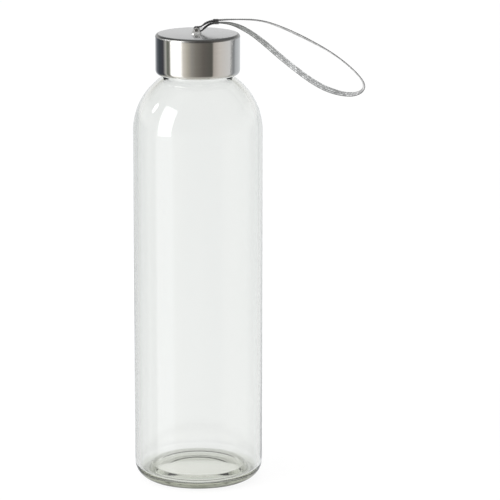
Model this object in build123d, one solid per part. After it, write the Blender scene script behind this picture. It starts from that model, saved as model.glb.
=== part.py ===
"""Glass water bottle with a steel screw cap and a webbing carry loop.

Millimetres, +Z up. The origin is the centre of the ring that the bottle stands on.
The bottle and the cap are turned shapes about Z; the loop leaves the lid toward +X.
"""

from build123d import *
from math import cos, pi, radians, sin, sqrt, tan
import os

# ---- driving dimensions -------------------------------------------------

body_r = 32.5          # outside of the straight glass body
glass_wall = 2.2       # body wall
overall_h = 229.0      # standing surface to the flat of the lid

# glass base
heel_r = 8.5           # rounding from the body to the standing ring
corner_r = 3.4         # inside, from the wall down into the gutter
gutter_r = 2.2         # rounding of the gutter round the raised floor
gutter_z = 4.6
floor_r = 22.8         # raised part of the inside floor
floor_z = 7.1          # at its rim
floor_edge_r = 1.5
floor_crown = 1.1      # how much the inside floor rises to the middle
punt_h = 3.4           # hollow under the base
ring_inner_r = 21.2    # inner edge of the standing ring

# glass shoulder and neck finish
shoulder_z = 180.0     # where the straight body ends and the round shoulder starts
neck_r = 17.6          # outside of the finish
bore_r = 15.0
rim_z = 224.8
rim_round = 0.8

# screw thread, shared by the glass and the cap insert
pitch = 4.2
glass_crest_r = 18.9
insert_crest_r = 18.05
insert_root_r = 19.35
thread_bottom_z = 216.2
thread_sink = 0.3      # how deep a rib's root is buried in its wall
glass_turns = 1.25
insert_turns = 1.5

# steel cap
cap_r = 21.2
cap_corner = 1.7
sheet = 0.6            # steel thickness
lip_top_z = 211.2      # the wall starts to curl in here
lip_bottom_z = 208.8
lip_edge_r = 19.8

# plastic insert and its seal
insert_top = 2.0
insert_bottom_z = 211.4
seal_h = 1.5
seal_gap = 0.05        # free play above and below the seal
seal_inner_r = 14.6
seal_outer_r = 18.8

# eye on the lid
eye_x = -0.6           # the cross pin's place
pin_r = 0.6
pin_up = 2.1           # pin axis above the lid
pin_head_r = 0.85
pin_head = 0.35
plate_half_x = 2.5
plate_half_y = 3.6
plate_t = 0.4
cheek_inner_y = 2.0
cheek_t = 0.8
cheek_half_x = 1.8
cheek_top = 3.2
shank_r = 1.2
tail_r = 2.0
tail_h = 0.5
washer_r = 4.0
washer_t = 0.6
recess_r = 4.4
recess_h = 1.4

# webbing loop
web_w = 3.2
web_t = 0.6
tack_x = (7.6, 10.4)   # the stitched stretch, from the axis
tack_w = 2.8

lid_z = overall_h
lid_under_z = lid_z - sheet
insert_under_z = lid_under_z - insert_top


# ---- helpers ------------------------------------------------------------

def turned(outline):
    """A full turn of a closed outline that lies in the XZ plane."""
    return revolve(make_face(outline), axis=Axis.Z)


def at(r, z):
    return Vector(r, 0, z)


def dome_arc(top_z, rim_r, rim_z):
    """Half the outline of a shallow dome whose ball is centred on the axis."""
    drop = top_z - rim_z
    ball_r = (drop**2 + rim_r**2) / (2 * drop)
    half_r = rim_r / 2
    return ThreePointArc(at(0, top_z), at(half_r, top_z - ball_r + sqrt(ball_r**2 - half_r**2)),
                         at(rim_r, rim_z))


def thread_rib(root_r, crest_r, root_w, crest_w, bottom_z, turns, start_angle):
    """One right-hand rib of trapezoid section, with its root sunk into the wall."""
    sink = thread_sink if crest_r > root_r else -thread_sink
    helix = Helix(pitch=pitch, height=pitch * turns, radius=root_r)
    section = Plane(origin=helix @ 0, x_dir=(1, 0, 0), z_dir=helix % 0)
    rise = crest_r - root_r
    points = [(-sink, -root_w / 2), (rise, -crest_w / 2), (rise, crest_w / 2), (-sink, root_w / 2)]
    rib = sweep(section * make_face(Polyline(*points, close=True)), path=helix, is_frenet=True)
    return Pos(0, 0, bottom_z) * Rot(0, 0, start_angle) * rib


# ---- glass --------------------------------------------------------------

def glass_bottle():
    inner_r = body_r - glass_wall

    def shoulder_arc(ball_r, end_r):
        """A ball-shaped shoulder, from the straight wall up to a smaller radius."""
        end_z = shoulder_z + sqrt(ball_r**2 - end_r**2)
        mid = ball_r * cos(pi / 6)
        arc = ThreePointArc(at(ball_r, shoulder_z), at(mid, shoulder_z + ball_r / 2), at(end_r, end_z))
        return arc, end_z

    outer_shoulder, neck_z = shoulder_arc(body_r, neck_r)
    inner_shoulder, bore_z = shoulder_arc(inner_r, bore_r)
    diag = 1 - cos(pi / 4)
    gutter_mid = inner_r - corner_r
    slope_foot = at(gutter_mid - gutter_r * (1 - diag), gutter_z + gutter_r * diag)
    slope_top = at(floor_r + floor_edge_r * (1 - diag), floor_z - floor_edge_r * diag)
    outside = [
        dome_arc(punt_h, ring_inner_r, 0.3),
        ThreePointArc(at(ring_inner_r, 0.3), at(ring_inner_r + 0.6, 0.07), at(ring_inner_r + 1.3, 0)),
        Line(at(ring_inner_r + 1.3, 0), at(body_r - heel_r, 0)),
        ThreePointArc(at(body_r - heel_r, 0), at(body_r - heel_r * diag, heel_r * diag), at(body_r, heel_r)),
        Line(at(body_r, heel_r), at(body_r, shoulder_z)),
        outer_shoulder,
        Line(at(neck_r, neck_z), at(neck_r, rim_z - rim_round)),
        ThreePointArc(at(neck_r, rim_z - rim_round),
                      at(neck_r - rim_round * diag, rim_z - rim_round * diag),
                      at(neck_r - rim_round, rim_z)),
        Line(at(neck_r - rim_round, rim_z), at(bore_r + rim_round, rim_z)),
        ThreePointArc(at(bore_r + rim_round, rim_z),
                      at(bore_r + rim_round * diag, rim_z - rim_round * diag),
                      at(bore_r, rim_z - rim_round)),
    ]
    inside = [
        Line(at(bore_r, rim_z - rim_round), at(bore_r, bore_z)),
        inner_shoulder,
        Line(at(inner_r, shoulder_z), at(inner_r, gutter_z + corner_r)),
        ThreePointArc(at(inner_r, gutter_z + corner_r),
                      at(inner_r - corner_r * diag, gutter_z + corner_r * diag),
                      at(gutter_mid, gutter_z)),
        ThreePointArc(at(gutter_mid, gutter_z),
                      at(gutter_mid - gutter_r * sin(pi / 8), gutter_z + gutter_r * (1 - cos(pi / 8))),
                      slope_foot),
        Line(slope_foot, slope_top),
        ThreePointArc(slope_top,
                      at(floor_r + floor_edge_r * sin(pi / 8), floor_z - floor_edge_r * (1 - cos(pi / 8))),
                      at(floor_r, floor_z)),
        dome_arc(floor_z + floor_crown, floor_r, floor_z),
        Line(at(0, floor_z + floor_crown), at(0, punt_h)),
    ]
    blank = turned(Wire(outside + inside))
    rib = thread_rib(neck_r, glass_crest_r, 2.0, 1.0, thread_bottom_z, glass_turns, 0)
    return blank + rib


# ---- cap ----------------------------------------------------------------

def cap_shell():
    bend = cap_corner - sheet
    diag = 1 - cos(pi / 4)
    wall_r = cap_r - sheet
    outline = Wire([
        Line(at(shank_r, lid_z), at(cap_r - cap_corner, lid_z)),
        ThreePointArc(at(cap_r - cap_corner, lid_z),
                      at(cap_r - cap_corner * diag, lid_z - cap_corner * diag),
                      at(cap_r, lid_z - cap_corner)),
        Line(at(cap_r, lid_z - cap_corner), at(cap_r, lip_top_z)),
        ThreePointArc(at(cap_r, lip_top_z), at(cap_r - 0.4, lip_top_z - 1.45), at(lip_edge_r, lip_bottom_z)),
        Line(at(lip_edge_r, lip_bottom_z), at(lip_edge_r - 0.4, lip_bottom_z + 0.45)),
        ThreePointArc(at(lip_edge_r - 0.4, lip_bottom_z + 0.45), at(wall_r - 0.35, lip_top_z - 1.05),
                      at(wall_r, lip_top_z)),
        Line(at(wall_r, lip_top_z), at(wall_r, lid_z - cap_corner)),
        ThreePointArc(at(wall_r, lid_z - cap_corner),
                      at(wall_r - bend * diag, lid_under_z - bend * diag),
                      at(wall_r - bend, lid_under_z)),
        Line(at(wall_r - bend, lid_under_z), at(shank_r, lid_under_z)),
        Line(at(shank_r, lid_under_z), at(shank_r, lid_z)),
    ])
    return turned(outline)


def cap_insert():
    outer_r = cap_r - sheet
    bend = cap_corner - sheet
    diag = 1 - cos(pi / 4)
    recess_z = lid_under_z - recess_h
    chamfer = 0.7
    outline = Wire([
        Line(at(0, recess_z), at(recess_r, recess_z)),
        Line(at(recess_r, recess_z), at(recess_r, lid_under_z)),
        Line(at(recess_r, lid_under_z), at(outer_r - bend, lid_under_z)),
        ThreePointArc(at(outer_r - bend, lid_under_z),
                      at(outer_r - bend * diag, lid_under_z - bend * diag),
                      at(outer_r, lid_z - cap_corner)),
        Line(at(outer_r, lid_z - cap_corner), at(outer_r, insert_bottom_z)),
        Line(at(outer_r, insert_bottom_z), at(insert_root_r + chamfer, insert_bottom_z)),
        Line(at(insert_root_r + chamfer, insert_bottom_z), at(insert_root_r, insert_bottom_z + chamfer)),
        Line(at(insert_root_r, insert_bottom_z + chamfer), at(insert_root_r, insert_under_z)),
        Line(at(insert_root_r, insert_under_z), at(0, insert_under_z)),
        Line(at(0, insert_under_z), at(0, recess_z)),
    ])
    # half a pitch below the glass rib, and started a quarter turn before it
    rib_z = thread_bottom_z - 0.5 * pitch - 0.25 * pitch
    rib = thread_rib(insert_root_r, insert_crest_r, 1.9, 0.9, rib_z, insert_turns, -90)
    return turned(outline) + rib


def seal_ring():
    base_z = rim_z + seal_gap
    ring = Cylinder(seal_outer_r, seal_h, align=(Align.CENTER, Align.CENTER, Align.MIN))
    ring -= Cylinder(seal_inner_r, seal_h, align=(Align.CENTER, Align.CENTER, Align.MIN))
    ring = fillet(ring.edges().filter_by(GeomType.CIRCLE), 0.3)
    return Pos(0, 0, base_z) * ring


# ---- eye on the lid -----------------------------------------------------

def eye_bracket():
    plate = extrude(Plane.XY.offset(lid_z) * Pos(eye_x, 0) * RectangleRounded(
        2 * plate_half_x, 2 * plate_half_y, 1.6), plate_t)
    side = Plane.XZ * Pos(eye_x, lid_z + plate_t)
    rise = cheek_top - plate_t
    foot = cheek_half_x
    dome = make_face([
        Line((-foot, 0), (foot, 0)),
        ThreePointArc((foot, 0), (foot * 0.83, rise * 0.62), (0, rise)),
        ThreePointArc((0, rise), (-foot * 0.83, rise * 0.62), (-foot, 0)),
    ])
    bracket = plate
    for near_y in (cheek_inner_y, -cheek_inner_y - cheek_t):
        cheek = Pos(0, near_y + cheek_t, 0) * extrude(side * dome, cheek_t)
        bracket += cheek
    bracket -= Pos(eye_x, 0, lid_z + pin_up) * Rot(90, 0, 0) * Cylinder(pin_r, 3 * plate_half_y)
    shank = Pos(0, 0, lid_under_z - washer_t) * Cylinder(
        shank_r, sheet + washer_t, align=(Align.CENTER, Align.CENTER, Align.MIN))
    tail = Pos(0, 0, lid_under_z - washer_t - tail_h) * Cone(
        tail_r * 0.8, tail_r, tail_h, align=(Align.CENTER, Align.CENTER, Align.MIN))
    return bracket + shank + tail


def eye_washer():
    ring = Cylinder(washer_r, washer_t, align=(Align.CENTER, Align.CENTER, Align.MIN))
    ring -= Cylinder(shank_r, washer_t, align=(Align.CENTER, Align.CENTER, Align.MIN))
    return Pos(0, 0, lid_under_z - washer_t) * ring


def eye_pin():
    reach = cheek_inner_y + cheek_t
    shaft = Cylinder(pin_r, 2 * reach)
    heads = [Pos(0, 0, s * (reach + pin_head / 2)) * Cylinder(pin_head_r, pin_head) for s in (-1, 1)]
    pin = shaft + heads[0] + heads[1]
    return Pos(eye_x, 0, lid_z + pin_up) * Rot(90, 0, 0) * pin


# ---- webbing loop -------------------------------------------------------

# the route of the loop: along X from the axis, and up from the lid.
# It starts behind the pin, passes under it, and comes back over it.
loop_route = [
    (-1.75, 2.00), (-1.75, 0.95), (-0.10, 0.90), (2.20, 1.25), (3.60, 3.05), (6.40, 4.95),
    (11.5, 5.60), (19.0, 4.70), (29.0, -0.70), (44.5, -14.2), (60.0, -25.9), (72.5, -30.6),
    (81.0, -30.3), (83.9, -26.2), (79.0, -19.6), (68.0, -10.6), (53.0, -2.50), (40.0, 3.50),
    (31.0, 6.35), (19.5, 6.95), (9.50, 6.65), (4.60, 5.60), (1.70, 3.30), (-0.10, 3.22),
    (-1.75, 3.25), (-1.75, 2.20),
]
pin_turns = (1, len(loop_route) - 2)   # the two corners that hug the pin
pin_turn_r = 1.0


def corner_radii(points):
    radii = []
    for i in range(1, len(points) - 1):
        before, here, after = (Vector(*points[j], 0) for j in (i - 1, i, i + 1))
        turn = radians((here - before).get_angle(after - here))
        shorter = min((here - before).length, (after - here).length)
        radii.append(pin_turn_r if i in pin_turns else 0.45 * shorter / tan(turn / 2))
    return radii


def strap():
    radii = corner_radii(loop_route)
    print("loop radii", [round(r, 2) for r in radii])
    points = [at(x, lid_z + up) for x, up in loop_route]
    path = FilletPolyline(*points, radius=radii)
    section = Plane(origin=path @ 0, x_dir=(0, 1, 0), z_dir=path % 0) * Rectangle(web_w, web_t)
    band = sweep(section, path=path)
    print("loop length", round(path.length, 1), "volume over section times length",
          round(band.volume / (web_w * web_t * path.length), 4))
    return band


def strap_stitching(band):
    """The bar tack between the two layers of webbing, just clear of the eye."""
    lower_z, upper_z = lid_z + 4.5, lid_z + 7.6
    block = Pos(sum(tack_x) / 2, 0, (lower_z + upper_z) / 2) * Box(
        tack_x[1] - tack_x[0], tack_w, upper_z - lower_z)
    pieces = (block - band).solids()
    middle_z = lid_z + 5.95
    return min(pieces, key=lambda piece: abs(piece.center().Z - middle_z))


def main():
    band = strap()
    nodes = {
        "glass_bottle": glass_bottle(),
        "cap_shell": cap_shell(),
        "cap_insert": cap_insert(),
        "seal_ring": seal_ring(),
        "eye_bracket": eye_bracket(),
        "eye_washer": eye_washer(),
        "eye_pin": eye_pin(),
        "strap": band,
        "strap_stitching": strap_stitching(band),
    }
    os.makedirs("parts", exist_ok=True)
    for name, shape in nodes.items():
        export_step(shape, f"parts/{name}.step")


main()
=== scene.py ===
import bpy
import bmesh
import math
from mathutils import Matrix, Vector


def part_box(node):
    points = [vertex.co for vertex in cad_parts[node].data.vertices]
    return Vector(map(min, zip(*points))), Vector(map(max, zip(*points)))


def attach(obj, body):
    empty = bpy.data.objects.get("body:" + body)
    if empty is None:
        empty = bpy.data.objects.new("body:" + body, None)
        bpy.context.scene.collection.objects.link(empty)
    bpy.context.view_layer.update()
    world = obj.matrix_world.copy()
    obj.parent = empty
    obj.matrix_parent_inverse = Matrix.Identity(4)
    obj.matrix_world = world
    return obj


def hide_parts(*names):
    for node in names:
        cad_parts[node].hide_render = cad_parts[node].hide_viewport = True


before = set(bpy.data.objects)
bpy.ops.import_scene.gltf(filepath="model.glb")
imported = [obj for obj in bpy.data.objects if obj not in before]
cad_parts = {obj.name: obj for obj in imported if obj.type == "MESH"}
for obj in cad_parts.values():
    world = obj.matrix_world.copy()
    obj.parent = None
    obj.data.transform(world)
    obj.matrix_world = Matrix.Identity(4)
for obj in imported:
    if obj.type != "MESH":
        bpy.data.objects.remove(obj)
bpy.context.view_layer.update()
mm = 0.001
tackLow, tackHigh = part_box("strap_stitching")
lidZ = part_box("cap_shell")[1][2]
scene = bpy.context.scene


viewpoint = {"side": 26.2 * mm, "back": 1.5, "height": 0.4704, "pitch": 13.207, "roll": 0.09, "lens": 219.5}


def makeCamera():
    cameraData = bpy.data.cameras.new("camera")
    cameraData.lens = viewpoint["lens"]
    cameraData.sensor_width = 36
    camera = bpy.data.objects.new("camera", cameraData)
    scene.collection.objects.link(camera)
    camera.location = (viewpoint["side"], -viewpoint["back"], viewpoint["height"])
    tilt = Matrix.Rotation(math.radians(90 - viewpoint["pitch"]), 4, "X")
    roll = Matrix.Rotation(math.radians(viewpoint["roll"]), 4, "Z")
    camera.rotation_euler = (tilt @ roll).to_euler()
    scene.camera = camera


makeCamera()
print("camera set")


def link(name, mesh):
    piece = bpy.data.objects.new(name, mesh)
    scene.collection.objects.link(piece)
    return piece


def finishMesh(name, bm, sharpAngle=35):
    for face in bm.faces:
        face.smooth = True
    for edge in bm.edges:
        if len(edge.link_faces) == 2 and edge.calc_face_angle(0) > math.radians(sharpAngle):
            edge.smooth = False
    mesh = bpy.data.meshes.new(name)
    bm.to_mesh(mesh)
    bm.free()
    return link(name, mesh)


def arc(centreR, centreZ, radius, start, end, steps):
    angles = [math.radians(start + (end - start) * i / steps) for i in range(steps + 1)]
    return [(centreR + radius * math.cos(a), centreZ + radius * math.sin(a)) for a in angles]


def dome(top, rimR, rimZ, steps):
    drop = top - rimZ
    ball = (drop * drop + rimR * rimR) / (2 * drop)
    radii = [rimR * i / steps for i in range(steps + 1)]
    return [(r, top - ball + math.sqrt(ball * ball - r * r)) for r in radii]


def turn(outline, steps):
    bm = bmesh.new()
    sameSpot = 0.01   # two points of the outline closer than this are one
    kept = [outline[0]]
    for point in outline[1:]:
        if math.dist(point, kept[-1]) > sameSpot:
            kept.append(point)
    if math.dist(kept[0], kept[-1]) < sameSpot:
        kept.pop()
    verts = [bm.verts.new((r * mm, 0, z * mm)) for r, z in kept]
    count = len(verts)
    edges = [bm.edges.new((verts[i], verts[(i + 1) % count])) for i in range(count)]
    bmesh.ops.spin(bm, geom=verts + edges, cent=(0, 0, 0), axis=(0, 0, 1), dvec=(0, 0, 0),
                   angle=2 * math.pi, steps=steps, use_merge=True)
    bmesh.ops.remove_doubles(bm, verts=bm.verts, dist=1e-6)
    bmesh.ops.recalc_face_normals(bm, faces=bm.faces)
    return bm


def newMaterial(name, **sockets):
    material = bpy.data.materials.new(name)
    material.use_nodes = True
    nodes, links = material.node_tree.nodes, material.node_tree.links
    shader = nodes["Principled BSDF"]
    for socket, value in sockets.items():
        shader.inputs[socket.replace("_", " ")].default_value = value
    return material, nodes, links, shader


def addNode(nodes, kind, **settings):
    node = nodes.new(kind)
    for key, value in settings.items():
        if key in node.inputs:
            node.inputs[key].default_value = value
        else:
            setattr(node, key, value)
    return node


def noiseBump(material, scale, strength, distance, detail=4.0):
    nodes, links = material.node_tree.nodes, material.node_tree.links
    place = addNode(nodes, "ShaderNodeTexCoord")
    mapping = addNode(nodes, "ShaderNodeMapping", Scale=scale)
    noise = addNode(nodes, "ShaderNodeTexNoise", Scale=1.0, Detail=detail)
    bump = addNode(nodes, "ShaderNodeBump", Strength=strength, Distance=distance)
    links.new(place.outputs["Object"], mapping.inputs["Vector"])
    links.new(mapping.outputs["Vector"], noise.inputs["Vector"])
    links.new(noise.outputs["Fac"], bump.inputs["Height"])
    links.new(bump.outputs["Normal"], nodes["Principled BSDF"].inputs["Normal"])
    return noise


def rampFrom(nodes, links, source, stops):
    ramp = addNode(nodes, "ShaderNodeValToRGB")
    for i, (position, colour) in enumerate(stops):
        spot = ramp.color_ramp.elements[i] if i < 2 else ramp.color_ramp.elements.new(position)
        spot.position = position
        spot.color = (*colour, 1)
    links.new(source, ramp.inputs["Fac"])
    return ramp


def spread(nodes, links, source, fromMin, fromMax, toMin=0.0, toMax=1.0):
    node = addNode(nodes, "ShaderNodeMapRange")
    for name, value in (("From Min", fromMin), ("From Max", fromMax), ("To Min", toMin), ("To Max", toMax)):
        node.inputs[name].default_value = value
    links.new(source, node.inputs["Value"])
    return node.outputs["Result"]


def blendColours(nodes, links, factor, first, second):
    mix = addNode(nodes, "ShaderNodeMix", data_type="RGBA")
    for socket, source in ((mix.inputs[0], factor), (mix.inputs[6], first), (mix.inputs[7], second)):
        if isinstance(source, float):
            socket.default_value = source
        elif isinstance(source, tuple):
            socket.default_value = (*source, 1)
        else:
            links.new(source, socket)
    return mix.outputs[2]


def calculate(nodes, links, operation, first, second):
    node = addNode(nodes, "ShaderNodeMath", operation=operation)
    for socket, source in zip(node.inputs, (first, second)):
        if isinstance(source, float):
            socket.default_value = source
        else:
            links.new(source, socket)
    return node.outputs["Value"]


def useMaterial(piece, material):
    piece.data.materials.clear()
    piece.data.materials.append(material)


# along X from the bottle's axis, across Y, and up from the lid: under the pin, out and back over it
loopRoute = [
    (-1.75, 0.0, 2.00), (-1.75, 0.0, 0.95), (-0.10, 0.0, 0.90), (2.20, 0.0, 1.25), (3.60, 0.0, 3.05),
    (6.40, 0.0, 4.95), (11.5, -0.2, 5.60), (19.0, -1.0, 4.70), (29.0, -2.2, -0.70), (44.5, -3.2, -14.2),
    (60.0, -3.2, -25.9), (72.5, -1.8, -30.6), (81.0, -0.4, -30.3), (83.9, 0.8, -26.2), (79.0, 1.8, -19.6),
    (68.0, 2.8, -10.6), (53.0, 3.2, -2.50), (40.0, 2.8, 3.50), (31.0, 2.2, 6.35), (19.5, 1.2, 6.95),
    (9.50, 0.2, 6.65), (4.60, 0.0, 5.60), (1.70, 0.0, 3.30), (-0.10, 0.0, 3.22), (-1.75, 0.0, 3.25),
    (-1.75, 0.0, 2.20),
]
webbing = {
    "width": 3.2 * mm, "thickness": 0.6 * mm, "rings": 520, "ribs": 0.07 * mm, "ribPitch": 1.1 * mm,
    # by share of its length: how thick the band is, pressed at the pin and swollen where it is sewn,
    # and how far it is turned out of level
    "ends": [(0, 0.8), (0.022, 0.8), (0.034, 1.5), (0.050, 1.5), (0.068, 1), (0.932, 1), (0.950, 1.5),
             (0.966, 1.5), (0.978, 0.8), (1, 0.8)],
    "twist": [(0, 0), (0.07, 0), (0.15, 34), (0.22, 50), (0.40, 48), (0.46, 30), (0.50, 12),
              (0.60, 12), (0.72, 24), (0.84, 16), (0.93, 0), (1, 0)],
}


def eased(stops, share):
    for (a, before), (b, after) in zip(stops, stops[1:]):
        if share <= b:
            t = (share - a) / (b - a)
            return before + (after - before) * t * t * (3 - 2 * t)
    return stops[-1][1]


def routeLine():
    curve = bpy.data.curves.new("loopLine", "CURVE")
    curve.dimensions = "3D"
    curve.resolution_u = 24
    spline = curve.splines.new("NURBS")
    spline.points.add(len(loopRoute) - 1)
    for point, (x, y, up) in zip(spline.points, loopRoute):
        point.co = (x * mm, y * mm, lidZ + up * mm, 1)
    spline.order_u = 3
    spline.use_endpoint_u = True
    carrier = bpy.data.objects.new("loopLine", curve)
    mesh = bpy.data.meshes.new_from_object(carrier)
    line = [v.co.copy() for v in mesh.vertices]
    bpy.data.meshes.remove(mesh)
    bpy.data.objects.remove(carrier)
    bpy.data.curves.remove(curve)
    return line


def evenly(line, count):
    along = [0.0]
    for a, b in zip(line, line[1:]):
        along.append(along[-1] + (b - a).length)
    out, i = [], 0
    for k in range(count + 1):
        goal = along[-1] * k / count
        while i < len(line) - 2 and along[i + 1] < goal:
            i += 1
        out.append(line[i].lerp(line[i + 1], (goal - along[i]) / (along[i + 1] - along[i])))
    return out, along[-1]


def makeStrap():
    line = routeLine()
    spots, length = evenly(line, webbing["rings"])
    half, thick = webbing["width"] / 2, webbing["thickness"] / 2
    # the section: a flat band with soft selvedges
    section = [(-1, 0.0), (-0.93, 0.8), (-0.6, 1.0), (-0.2, 0.86), (0.2, 0.86), (0.6, 1.0), (0.93, 0.8),
               (1, 0.0), (0.93, -0.8), (0.6, -1.0), (0.2, -0.86), (-0.2, -0.86), (-0.6, -1.0), (-0.93, -0.8)]
    bm = bmesh.new()
    uv = bm.loops.layers.uv.new("webbing")
    rings = []
    for i, spot in enumerate(spots):
        ahead = (spots[min(i + 1, len(spots) - 1)] - spots[max(i - 1, 0)]).normalized()
        share = i / webbing["rings"]
        level = (Vector((0, 1, 0)) - ahead * ahead.y).normalized()
        across = Matrix.Rotation(math.radians(eased(webbing["twist"], share)), 3, ahead) @ level
        up = ahead.cross(across)
        swell = 1 + webbing["ribs"] / thick * math.sin(2 * math.pi * share * length / webbing["ribPitch"])
        swell *= eased(webbing["ends"], share)
        rings.append([bm.verts.new(spot + across * (u * half) + up * (v * thick * swell))
                      for u, v in section])
    count = len(section)
    for i, (ring, following) in enumerate(zip(rings, rings[1:])):
        for k in range(count):
            face = bm.faces.new((ring[k], ring[(k + 1) % count], following[(k + 1) % count], following[k]))
            ends = [(k, i), (k + 1, i), (k + 1, i + 1), (k, i + 1)]
            for loop, (u, v) in zip(face.loops, ends):
                side = section[u % count][0] * 0.5 + 0.5
                loop[uv].uv = (v / webbing["rings"] * length / webbing["width"], side)
    bm.faces.new(list(reversed(rings[0])))
    bm.faces.new(rings[-1])
    bmesh.ops.recalc_face_normals(bm, faces=bm.faces)
    strap = finishMesh("strapWebbing", bm, sharpAngle=80)
    return strap, line, length


# by share of the length: the strap's own grey with painted shade, near black at both ends where the doubled
# loop meets the eye and paler towards the far end, with lighter and darker stretches painted where the light
# falls
strapGreyAndPaintedShade = [
    (0.00, (0.020, 0.020, 0.022)), (0.052, (0.030, 0.030, 0.032)), (0.080, (0.22, 0.23, 0.22)),
    (0.16, (0.46, 0.47, 0.46)), (0.30, (0.80, 0.81, 0.81)), (0.42, (0.60, 0.61, 0.61)),
    (0.50, (0.68, 0.68, 0.68)), (0.80, (0.74, 0.74, 0.74)), (0.88, (0.46, 0.46, 0.46)),
    (0.925, (0.22, 0.22, 0.22)), (0.948, (0.025, 0.025, 0.026)), (1.00, (0.020, 0.020, 0.022)),
]


def webbingMaterial(name, length):
    material, nodes, links, shader = newMaterial(name, Roughness=0.78, Sheen_Weight=0.2, Sheen_Roughness=0.5)
    uv = addNode(nodes, "ShaderNodeUVMap", uv_map="webbing")
    along = addNode(nodes, "ShaderNodeSeparateXYZ")
    links.new(uv.outputs["UV"], along.inputs["Vector"])
    share = spread(nodes, links, along.outputs["X"], 0.0, length / webbing["width"])
    # painted shade and highlight along the strap, multiplied into its colour
    shade = rampFrom(nodes, links, share, strapGreyAndPaintedShade)
    braid = addNode(nodes, "ShaderNodeTexBrick", Scale=1.9, offset=0.5)
    braid.inputs["Color1"].default_value = (1, 1, 1, 1)
    braid.inputs["Color2"].default_value = (0.50, 0.50, 0.50, 1)
    braid.inputs["Mortar"].default_value = (0.20, 0.20, 0.20, 1)
    braid.inputs["Mortar Size"].default_value = 0.06
    braid.inputs["Brick Width"].default_value = 0.9
    braid.inputs["Row Height"].default_value = 0.65
    links.new(uv.outputs["UV"], braid.inputs["Vector"])
    tint = addNode(nodes, "ShaderNodeMix", data_type="RGBA", blend_type="MULTIPLY")
    tint.inputs[0].default_value = 1.0
    links.new(shade.outputs["Color"], tint.inputs[6])
    links.new(braid.outputs["Color"], tint.inputs[7])
    links.new(tint.outputs[2], shader.inputs["Base Color"])
    bump = addNode(nodes, "ShaderNodeBump", Strength=0.5, Distance=0.0002, invert=True)
    links.new(braid.outputs["Fac"], bump.inputs["Height"])
    links.new(bump.outputs["Normal"], shader.inputs["Normal"])
    return material


stitching = {"thread": 0.12 * mm, "sides": 8, "turns": 7, "around": 20, "clear": 0.16 * mm, "lean": 0.35,
             "squareness": 0.7, "bulgeY": 1.15, "bulgeZ": 1.2}


def makeStitching():
    middle = (tackLow + tackHigh) / 2
    span = tackHigh[0] - tackLow[0]
    halfY = (tackHigh[1] - tackLow[1]) / 2
    halfZ = (tackHigh[2] - tackLow[2]) / 2 + webbing["thickness"] + stitching["clear"]
    bm = bmesh.new()
    steps, sides = stitching["around"], stitching["sides"]
    for k in range(stitching["turns"]):
        x = tackLow[0] + span * (k + 0.5) / stitching["turns"]
        lean = span * stitching["lean"] / stitching["turns"] * (1 if k % 2 else -1)
        section = bmesh.ops.create_circle(bm, segments=sides, radius=stitching["thread"])["verts"]
        ring = []
        for i in range(steps):
            a = 2 * math.pi * i / steps
            flat = 1 / max(abs(math.cos(a)), abs(math.sin(a))) ** stitching["squareness"]
            centre = Vector((x + lean * math.cos(a),
                             math.cos(a) * halfY * min(flat, stitching["bulgeY"]),
                             middle[2] + math.sin(a) * halfZ * min(flat, stitching["bulgeZ"])))
            outward = Vector((0, math.cos(a), math.sin(a)))
            ring.append([bm.verts.new(centre + outward * v.co.x + Vector((v.co.y, 0, 0))) for v in section])
        bmesh.ops.delete(bm, geom=section, context="VERTS")
        for i in range(steps):
            here, there = ring[i], ring[(i + 1) % steps]
            for j in range(sides):
                bm.faces.new((here[j], here[(j + 1) % sides], there[(j + 1) % sides], there[j]))
    bmesh.ops.recalc_face_normals(bm, faces=bm.faces)
    return finishMesh("strapStitches", bm, sharpAngle=80)


strap, strapLine, strapLength = makeStrap()
useMaterial(strap, webbingMaterial("webbing", strapLength))
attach(strap, "strap")
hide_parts("strap")

stitches = makeStitching()
threadMaterial = newMaterial("thread", Base_Color=(0.03, 0.03, 0.03, 1), Roughness=0.7)[0]
noiseBump(threadMaterial, (9000, 3000, 3000), 0.4, 0.00005)
useMaterial(stitches, threadMaterial)
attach(stitches, "strap")
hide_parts("strap_stitching")
print("webbing loop", round(strapLength, 4))


# in millimetres, as the cap's below
glass = {
    "bodyR": 32.5, "wall": 2.2, "heel": 8.5, "corner": 3.4, "gutterR": 2.2, "gutterZ": 4.6,
    "floorR": 22.8, "floorZ": 7.1, "floorEdge": 1.5, "floorCrown": 1.1, "punt": 3.4,
    "puntRim": 0.3, "ringInner": 21.2, "ringEdge": 0.6, "ringRise": 0.07, "ringFlat": 1.3, "ringRim": 0.8,
    "shoulderZ": 180.0, "neckR": 17.6, "boreR": 15.0, "rimZ": 224.8, "rimRound": 0.8, "around": 576,
    "threadZ": 216.2, "pitch": 4.2, "crestR": 18.9, "turns": 1.25, "ribSteps": 110,
    "ribFoot": 1.0, "ribCrest": 0.5, "ribSunk": 0.3,
    "knurls": 144, "knurlDepth": 0.5, "knurlReach": 4.0, "knurlTop": 1.6,
    "tint": (0.935, 0.943, 0.941),
    # the outside of the heel low down, where the knurled ring stops the light
    "heelShade": (0.07, 0.077, 0.057), "shadeLow": 2.4, "shadeHigh": 4.8, "shadeEdge": 1.5,
}


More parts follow.
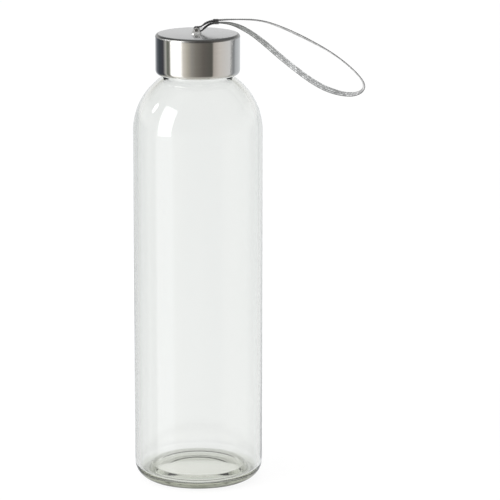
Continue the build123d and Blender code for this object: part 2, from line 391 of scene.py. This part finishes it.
def glassOutline():
    g = glass
    innerR = g["bodyR"] - g["wall"]
    gutterMid = innerR - g["corner"]
    outerTop = math.degrees(math.acos(g["neckR"] / g["bodyR"]))
    innerTop = math.degrees(math.acos(g["boreR"] / innerR))
    rim, roundR = g["rimZ"], g["rimRound"]
    outline = dome(g["punt"], g["ringInner"], g["puntRim"], 12)
    outline += [(g["ringInner"] + g["ringEdge"], g["ringRise"]), (g["ringInner"] + g["ringFlat"], 0)]
    outline += [(g["bodyR"] - g["heel"] - g["ringRim"], 0)]
    outline += arc(g["bodyR"] - g["heel"], g["heel"], g["heel"], -90, 0, 14)
    outline += [(g["bodyR"], 60), (g["bodyR"], 120)]
    outline += arc(0, g["shoulderZ"], g["bodyR"], 0, outerTop, 26)
    outline += arc(g["neckR"] - roundR, rim - roundR, roundR, 0, 90, 5)
    outline += arc(g["boreR"] + roundR, rim - roundR, roundR, 90, 180, 5)
    outline += arc(0, g["shoulderZ"], innerR, innerTop, 0, 26)
    outline += [(innerR, 120), (innerR, 60)]
    outline += arc(gutterMid, g["gutterZ"] + g["corner"], g["corner"], 0, -90, 10)
    outline += arc(gutterMid, g["gutterZ"] + g["gutterR"], g["gutterR"], -90, -135, 5)
    outline += arc(g["floorR"], g["floorZ"] - g["floorEdge"], g["floorEdge"], 45, 90, 5)
    outline += list(reversed(dome(g["floorZ"] + g["floorCrown"], g["floorR"], g["floorZ"], 10)))
    return outline


def threadRib():
    g = glass
    bm = bmesh.new()
    rootR, foot, crest = g["neckR"] - g["ribSunk"], g["ribFoot"], g["ribCrest"]
    corners = [(rootR, -foot), (g["crestR"], -crest), (g["crestR"], crest), (rootR, foot)]
    verts = [bm.verts.new((r * mm, 0, (g["threadZ"] + z) * mm)) for r, z in corners]
    edges = [bm.edges.new((verts[i], verts[(i + 1) % 4])) for i in range(4)]
    bmesh.ops.spin(bm, geom=verts + edges, cent=(0, 0, 0), axis=(0, 0, 1),
                   dvec=(0, 0, g["pitch"] * g["turns"] * mm / g["ribSteps"]),
                   angle=2 * math.pi * g["turns"], steps=g["ribSteps"])
    bmesh.ops.holes_fill(bm, edges=[e for e in bm.edges if len(e.link_faces) == 1])
    bmesh.ops.recalc_face_normals(bm, faces=bm.faces)
    return finishMesh("threadRib", bm)


def knurlRing(bm):
    g = glass
    insideR, outsideR = g["ringInner"] + g["ringFlat"], g["bodyR"] - g["heel"] + g["knurlReach"]
    for vert in bm.verts:
        r = math.hypot(vert.co.x, vert.co.y) / mm
        if vert.co.z < g["knurlTop"] * mm and insideR <= r <= outsideR:
            angle = math.atan2(vert.co.y, vert.co.x)
            fade = 1 - abs(2 * (r - insideR) / (outsideR - insideR) - 1) ** 2
            vert.co.z += g["knurlDepth"] * mm * fade * (0.5 - 0.5 * math.cos(g["knurls"] * angle))


def makeGlass():
    bm = turn(glassOutline(), glass["around"])
    knurlRing(bm)
    bottle = finishMesh("glassBottle", bm)
    rib = threadRib()
    join = bottle.modifiers.new("thread", "BOOLEAN")
    join.operation = "UNION"
    join.solver = "EXACT"
    join.object = rib
    mesh = bpy.data.meshes.new_from_object(bottle.evaluated_get(bpy.context.evaluated_depsgraph_get()))
    bottle.modifiers.clear()
    bottle.data = mesh
    bpy.data.objects.remove(rib)
    return bottle


def heelShading(nodes, links):
    place = addNode(nodes, "ShaderNodeTexCoord")
    axes = addNode(nodes, "ShaderNodeSeparateXYZ")
    links.new(place.outputs["Object"], axes.inputs["Vector"])
    low = spread(nodes, links, axes.outputs["Z"], glass["shadeHigh"] * mm, glass["shadeLow"] * mm)
    across = addNode(nodes, "ShaderNodeVectorMath", operation="MULTIPLY")
    across.inputs[1].default_value = (1, 1, 0)
    links.new(place.outputs["Object"], across.inputs[0])
    fromAxis = addNode(nodes, "ShaderNodeVectorMath", operation="LENGTH")
    links.new(across.outputs["Vector"], fromAxis.inputs[0])
    ringR = (glass["bodyR"] - glass["heel"]) * mm
    outside = spread(nodes, links, fromAxis.outputs["Value"], ringR, ringR + glass["shadeEdge"] * mm)
    side = addNode(nodes, "ShaderNodeNewGeometry")
    entering = calculate(nodes, links, "SUBTRACT", 1.0, side.outputs["Backfacing"])
    patches = addNode(nodes, "ShaderNodeTexNoise", Scale=55.0, Detail=2.0)
    links.new(place.outputs["Object"], patches.inputs["Vector"])
    shade = spread(nodes, links, patches.outputs["Fac"], 0.35, 0.60, 0.70, 1.0)
    for share in (low, outside, entering):
        shade = calculate(nodes, links, "MULTIPLY", shade, share)
    return blendColours(nodes, links, shade, glass["tint"], glass["heelShade"])


def glassMaterial():
    material, nodes, links, shader = newMaterial("clearGlass", Roughness=0.0, IOR=1.5,
                                                 Transmission_Weight=1.0)
    noiseBump(material, (14, 14, 5), 0.12, 0.002, detail=1.0)
    links.new(heelShading(nodes, links), shader.inputs["Base Color"])
    green = addNode(nodes, "ShaderNodeVolumeAbsorption", Density=60.0)
    green.inputs["Color"].default_value = (0.865, 0.873, 0.83, 1)
    links.new(green.outputs["Volume"], nodes["Material Output"].inputs["Volume"])
    return material


bottle = makeGlass()
useMaterial(bottle, glassMaterial())
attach(bottle, "bottle")
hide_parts("glass_bottle")
print("glass", len(bottle.data.vertices))


cap = {"radius": 21.2, "corner": 1.7, "sheet": 0.6, "lipTop": 211.2, "lipBottom": 208.8, "lipEdge": 19.8,
       "tuck": 0.4, "curlWall": 0.45, "hole": 1.2, "top": 229.0, "around": 192}


def makeCapShell():
    c = cap
    inner = c["radius"] - c["sheet"]
    bend = c["corner"] - c["sheet"]
    cornerR, cornerZ = c["radius"] - c["corner"], c["top"] - c["corner"]
    lipR, lipH = c["radius"] - c["lipEdge"], c["lipTop"] - c["lipBottom"]
    outline = [(c["hole"], c["top"])]
    outline += arc(cornerR, cornerZ, c["corner"], 90, 0, 8)
    outline += [(c["lipEdge"] + lipR * math.cos(a), c["lipTop"] - lipH * math.sin(a))
                for a in [math.radians(90 * i / 8) for i in range(9)]]
    tuckR, insideR, insideH = c["lipEdge"] - c["tuck"], lipR - c["sheet"] + c["tuck"], lipH - c["curlWall"]
    outline += [(tuckR, c["lipBottom"] + c["curlWall"])]
    outline += [(tuckR + insideR * math.sin(a), c["lipTop"] - insideH * math.cos(a))
                for a in [math.radians(90 * i / 6) for i in range(1, 7)]]
    outline += arc(inner - bend, c["top"] - c["corner"], bend, 0, 90, 6)
    outline += [(c["hole"], c["top"] - c["sheet"])]
    return finishMesh("capShell", turn(outline, c["around"]), sharpAngle=40)


def steelMaterial(name, colour, roughness, grain, metallic=1.0):
    material, nodes, links, shader = newMaterial(name, Metallic=metallic)
    noise = noiseBump(material, grain, 0.10, 0.00003, detail=3.0)
    rough = spread(nodes, links, noise.outputs["Fac"], 0.0, 1.0, roughness * 0.7, roughness * 1.3)
    links.new(rough, shader.inputs["Roughness"])
    darker = [c * 0.92 for c in colour]
    shade = rampFrom(nodes, links, noise.outputs["Fac"], [(0.3, darker), (0.7, colour)])
    links.new(shade.outputs["Color"], shader.inputs["Base Color"])
    return material


def polishCap(shell):
    wall = steelMaterial("capSteel", (0.84, 0.83, 0.81), 0.08, (60, 60, 9000))
    lid = steelMaterial("lidSteel", (0.84, 0.84, 0.84), 0.24, (2500, 2500, 60))
    # painted shade: the rim corner gets a darker steel colour for the dark line along the lid's edge, and a
    # rougher finish that dims its glint
    rim = steelMaterial("rimSteel", (0.46, 0.46, 0.45), 0.30, (2500, 2500, 60))
    for material in (wall, lid, rim):
        shell.data.materials.append(material)
    for face in shell.data.polygons:
        if face.normal.z > 0.99 and face.center.z > lidZ - cap["sheet"] * mm / 2:
            face.material_index = 1
        elif face.normal.z > 0.1 and face.center.z > lidZ - cap["corner"] * mm:
            face.material_index = 2


capShell = makeCapShell()
polishCap(capShell)
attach(capShell, "cap")
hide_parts("cap_shell")

eyeSteel = steelMaterial("eyeSteel", (0.90, 0.90, 0.89), 0.38, (2500, 2500, 2500), metallic=0.7)
for node in ("eye_bracket", "eye_washer"):
    useMaterial(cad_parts[node], eyeSteel)
pinSteel = steelMaterial("pinSteel", (0.55, 0.55, 0.54), 0.2, (2500, 2500, 2500))
useMaterial(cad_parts["eye_pin"], pinSteel)

plastic = newMaterial("insertPlastic", Base_Color=(0.86, 0.86, 0.84, 1), Roughness=0.45,
                      Subsurface_Weight=0.1)[0]
noiseBump(plastic, (1200, 1200, 1200), 0.15, 0.00005)
useMaterial(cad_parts["cap_insert"], plastic)

silicone = newMaterial("sealSilicone", Base_Color=(0.9, 0.9, 0.88, 1), Roughness=0.5,
                       Subsurface_Weight=0.2)[0]
noiseBump(silicone, (900, 900, 900), 0.2, 0.00005)
useMaterial(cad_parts["seal_ring"], silicone)
print("cap")


# what a mirror sees level with it: behind it on the left at 0, the front at 0.5, behind on the right at 1
surround = [
    (0.000, (0.90, 0.92, 0.94)), (0.060, (0.50, 0.52, 0.54)), (0.100, (0.14, 0.15, 0.17)),
    (0.145, (0.05, 0.06, 0.07)), (0.205, (0.05, 0.05, 0.06)), (0.234, (0.42, 0.42, 0.40)),
    (0.252, (0.12, 0.13, 0.11)), (0.274, (0.20, 0.20, 0.18)), (0.290, (1.30, 1.30, 1.28)),
    (0.370, (1.30, 1.30, 1.29)), (0.390, (0.64, 0.61, 0.56)), (0.426, (0.42, 0.40, 0.35)),
    (0.457, (0.27, 0.26, 0.24)), (0.490, (0.19, 0.18, 0.16)), (0.546, (0.12, 0.11, 0.10)),
    (0.614, (0.09, 0.09, 0.08)), (0.624, (0.40, 0.37, 0.34)), (0.673, (0.56, 0.53, 0.50)),
    (0.772, (0.60, 0.60, 0.60)), (0.800, (0.30, 0.31, 0.32)), (0.822, (0.22, 0.23, 0.24)),
    (0.850, (0.42, 0.44, 0.46)), (0.940, (0.56, 0.58, 0.60)), (1.000, (0.90, 0.92, 0.94)),
]
# above and below that level, and what the glass shows of it
room = {"table": (0.50, 0.49, 0.45), "tableShare": 0.62, "behind": (0.62, 0.62, 0.62),
        "ceiling": (0.04, 0.04, 0.04), "ceilingShare": 0.75, "gain": 1.15,
        "throughGlass": (0.80, 0.80, 0.76),
        # heights of a direction over which one part passes into the next
        "wallFoot": (0.25, 0.40), "frontToBack": (-0.3, 0.3), "tableEdge": (-0.55, -0.40),
        "eyeLevel": (0.0, 0.10), "bentUp": (0.05, 0.30)}


def makeSurround():
    world = bpy.data.worlds.new("studio")
    scene.world = world
    world.use_nodes = True
    nodes, links = world.node_tree.nodes, world.node_tree.links
    place = addNode(nodes, "ShaderNodeTexCoord")
    axes = addNode(nodes, "ShaderNodeSeparateXYZ")
    links.new(place.outputs["Generated"], axes.inputs["Vector"])
    ahead = calculate(nodes, links, "MULTIPLY", axes.outputs["Y"], -1.0)
    around = calculate(nodes, links, "ARCTAN2", axes.outputs["X"], ahead)
    compass = spread(nodes, links, around, -math.pi, math.pi)
    level = rampFrom(nodes, links, compass, surround).outputs["Color"]
    below = blendColours(nodes, links, room["tableShare"], level, room["table"])
    ceiling = blendColours(nodes, links, room["ceilingShare"], level, room["ceiling"])
    height = axes.outputs["Z"]
    wallFoot = spread(nodes, links, height, *room["wallFoot"])
    backWall = blendColours(nodes, links, wallFoot, room["behind"], ceiling)
    backward = spread(nodes, links, axes.outputs["Y"], *room["frontToBack"])
    above = blendColours(nodes, links, backward, ceiling, backWall)
    seen = blendColours(nodes, links, spread(nodes, links, height, *room["tableEdge"]), below, level)
    seen = blendColours(nodes, links, spread(nodes, links, height, *room["eyeLevel"]), seen, above)
    gain = addNode(nodes, "ShaderNodeVectorMath", operation="SCALE")
    gain.inputs["Scale"].default_value = room["gain"]
    links.new(seen, gain.inputs[0])
    rays = addNode(nodes, "ShaderNodeLightPath")
    mirrored = calculate(nodes, links, "SUBTRACT", rays.outputs["Is Glossy Ray"],
                         rays.outputs["Is Transmission Ray"])
    mirrored = calculate(nodes, links, "MAXIMUM", mirrored, 0.0)
    # the thick base bends a ray far enough up to meet the greyer part of the room
    upwards = spread(nodes, links, height, *room["bentUp"])
    upwards = calculate(nodes, links, "MULTIPLY", upwards, rays.outputs["Is Transmission Ray"])
    plain = blendColours(nodes, links, upwards, (1.0, 1.0, 1.0), room["throughGlass"])
    colour = blendColours(nodes, links, mirrored, plain, gain.outputs["Vector"])
    links.new(colour, nodes["Background"].inputs["Color"])


ground = {"half": 8.0, "albedo": 0.1, "glow": 0.9,
          "beside": (0.84, 0.86, 0.86), "besideX": (0.04, 0.30), "besideSlope": 0.35,
          # what the thick base shows of the floor under it: shade at the ring, light in the hollow
          "under": [(0.0, (1.02, 1.02, 0.98)), (0.48, (0.98, 0.98, 0.94)), (0.54, (0.64, 0.65, 0.61)),
                    (0.61, (0.68, 0.69, 0.65)), (0.67, (0.86, 0.87, 0.83)), (0.85, (0.92, 0.93, 0.90)),
                    (0.95, (1.0, 1.0, 1.0))], "underR": 0.04}


def makeFloor():
    bm = bmesh.new()
    bmesh.ops.create_grid(bm, x_segments=1, y_segments=1, size=ground["half"])
    floor = finishMesh("floor", bm)
    material, nodes, links, shader = newMaterial("paleFloor", Roughness=0.9,
                                                 Emission_Strength=ground["glow"])
    shader.inputs["Base Color"].default_value = (*[ground["albedo"]] * 3, 1)
    # light bent far to the side by the glass meets a greyer part of the room
    place = addNode(nodes, "ShaderNodeTexCoord")
    axes = addNode(nodes, "ShaderNodeSeparateXYZ")
    links.new(place.outputs["Object"], axes.inputs["Vector"])
    sideways = calculate(nodes, links, "ABSOLUTE", axes.outputs["X"], 0.0)
    depth = calculate(nodes, links, "MULTIPLY", axes.outputs["Y"], ground["besideSlope"])
    beyond = calculate(nodes, links, "SUBTRACT", sideways, depth)
    grey = spread(nodes, links, beyond, *ground["besideX"])
    fromAxis = addNode(nodes, "ShaderNodeVectorMath", operation="LENGTH")
    links.new(place.outputs["Object"], fromAxis.inputs[0])
    share = spread(nodes, links, fromAxis.outputs["Value"], 0.0, ground["underR"])
    under = rampFrom(nodes, links, share, ground["under"]).outputs["Color"]
    bent = blendColours(nodes, links, grey, under, ground["beside"])
    rays = addNode(nodes, "ShaderNodeLightPath")
    glow = blendColours(nodes, links, rays.outputs["Is Transmission Ray"], (1.0, 1.0, 1.0), bent)
    links.new(glow, shader.inputs["Emission Color"])
    useMaterial(floor, material)
    floor.visible_glossy = False   # the steel mirrors the room, not the table


windowAim = Vector((0, 0, 0.19))


def makeWindow(name, azimuth, elevation, distance, size, power):
    lamp = bpy.data.lights.new(name, "AREA")
    lamp.shape = "RECTANGLE"
    lamp.size, lamp.size_y = size
    lamp.energy = power
    piece = bpy.data.objects.new(name, lamp)
    scene.collection.objects.link(piece)
    a, e = math.radians(azimuth), math.radians(elevation)
    towards = Vector((math.sin(a) * math.cos(e), -math.cos(a) * math.cos(e), math.sin(e)))
    piece.location = windowAim + towards * distance
    piece.rotation_euler = towards.to_track_quat("Z", "Y").to_euler()
    piece.visible_camera = False
    piece.visible_transmission = False


makeSurround()
makeFloor()
makeWindow("leftWindow", -60, 18, 1.6, (0.80, 1.34), 18)
makeWindow("sidePane", -98, 26, 1.6, (0.20, 0.35), 1.6)
scene.view_settings.view_transform = "Standard"
print("stage set")
